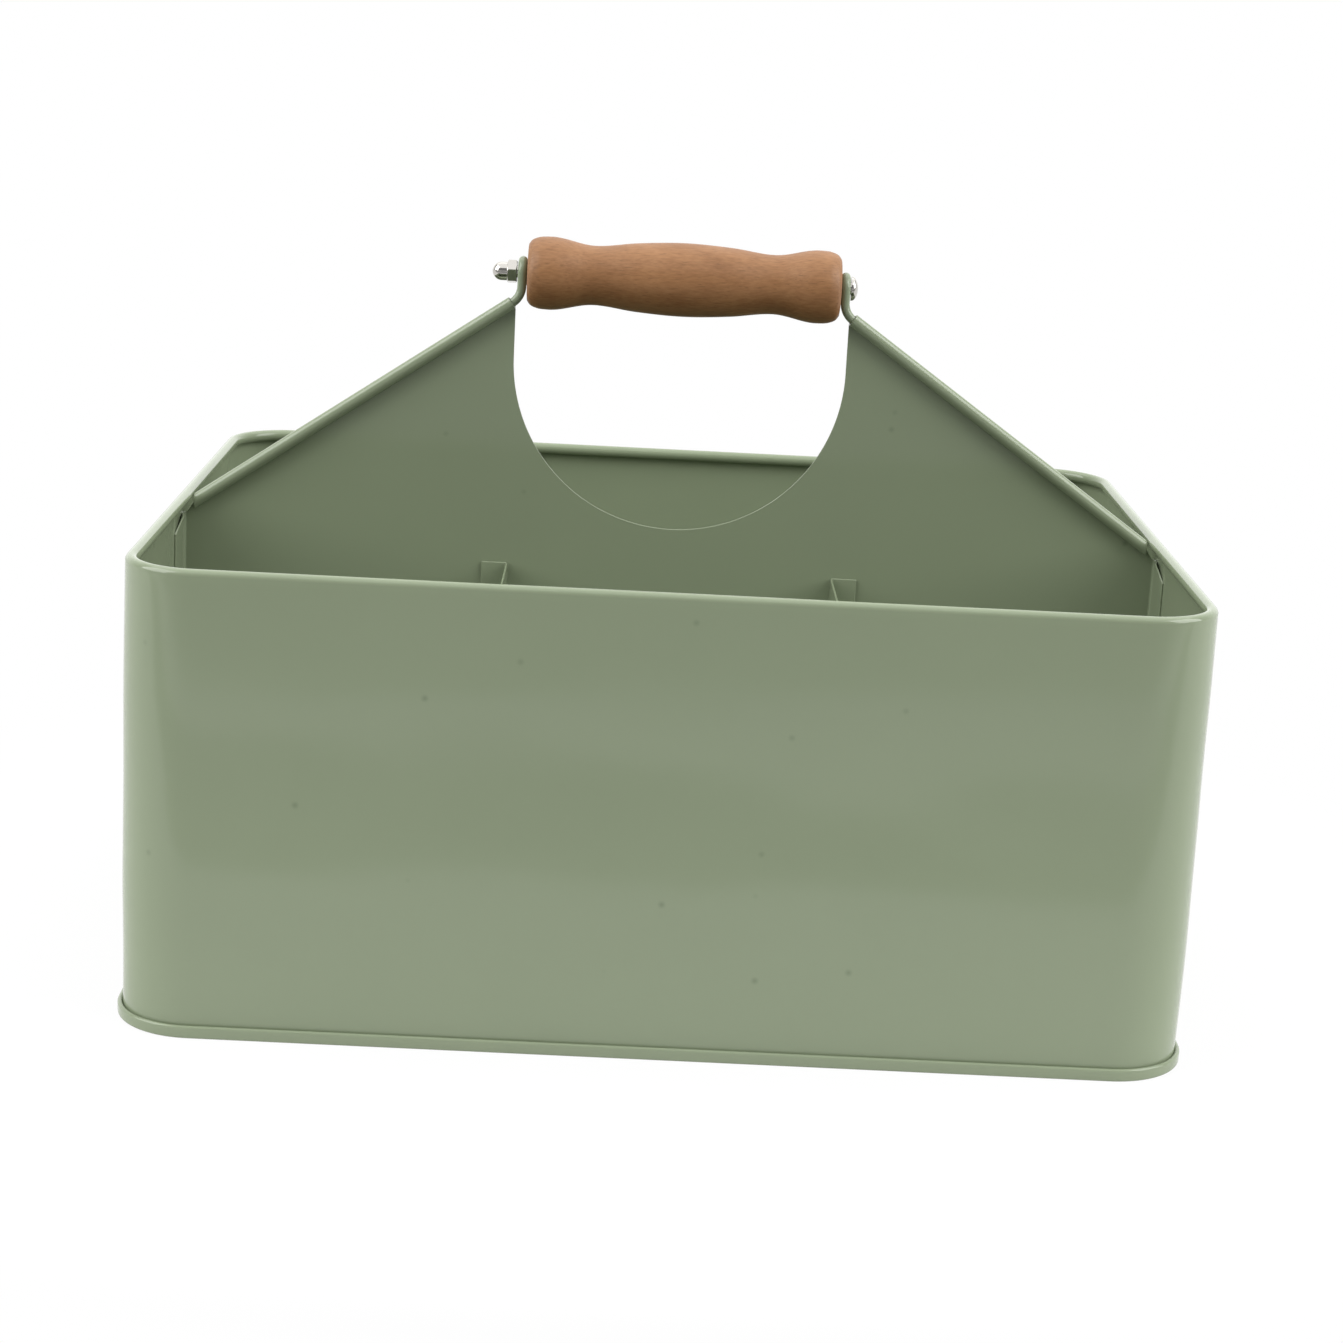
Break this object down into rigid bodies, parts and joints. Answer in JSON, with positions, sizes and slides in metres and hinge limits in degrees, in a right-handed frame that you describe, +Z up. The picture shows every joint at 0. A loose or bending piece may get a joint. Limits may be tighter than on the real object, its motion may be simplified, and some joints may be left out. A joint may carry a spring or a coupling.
{
  "type": "open sheet-metal storage caddy",
  "caption": "Open rounded rectangular sheet-metal caddy with a gabled centre panel, curled hems, cross dividers and a turned wood carrying grip that spins on its bolt.",
  "frame": {"origin": "on the table, under the middle of the body", "axes": "+X along the grip to the bolt head, +Y to the back, away from the dividers, +Z up"},
  "size_m": [0.3342, 0.2582, 0.2359],
  "materials": {
    "sage_paint": "satin powder coat, sage green",
    "turned_wood": "oiled hardwood with fine open pores",
    "nickel_plate": "bright nickel plate on steel"
  },
  "bodies": {
    "caddy": {"body_wall": "sage_paint", "base_pan": "sage_paint", "centre_panel": "sage_paint", "left_hem_rod": "sage_paint", "right_hem_rod": "sage_paint", "left_divider": "sage_paint", "right_divider": "sage_paint", "grip_bolt": "nickel_plate", "acorn_nut": "nickel_plate"},
    "grip": {"wood_grip": "turned_wood"}
  },
  "joints": [
    {"name": "grip_spin", "type": "hinge", "parent": "caddy", "child": "grip", "pos_m": [0, 0.00185, 0.2238], "axis": [1, 0, 0], "continuous": true}
  ]
}
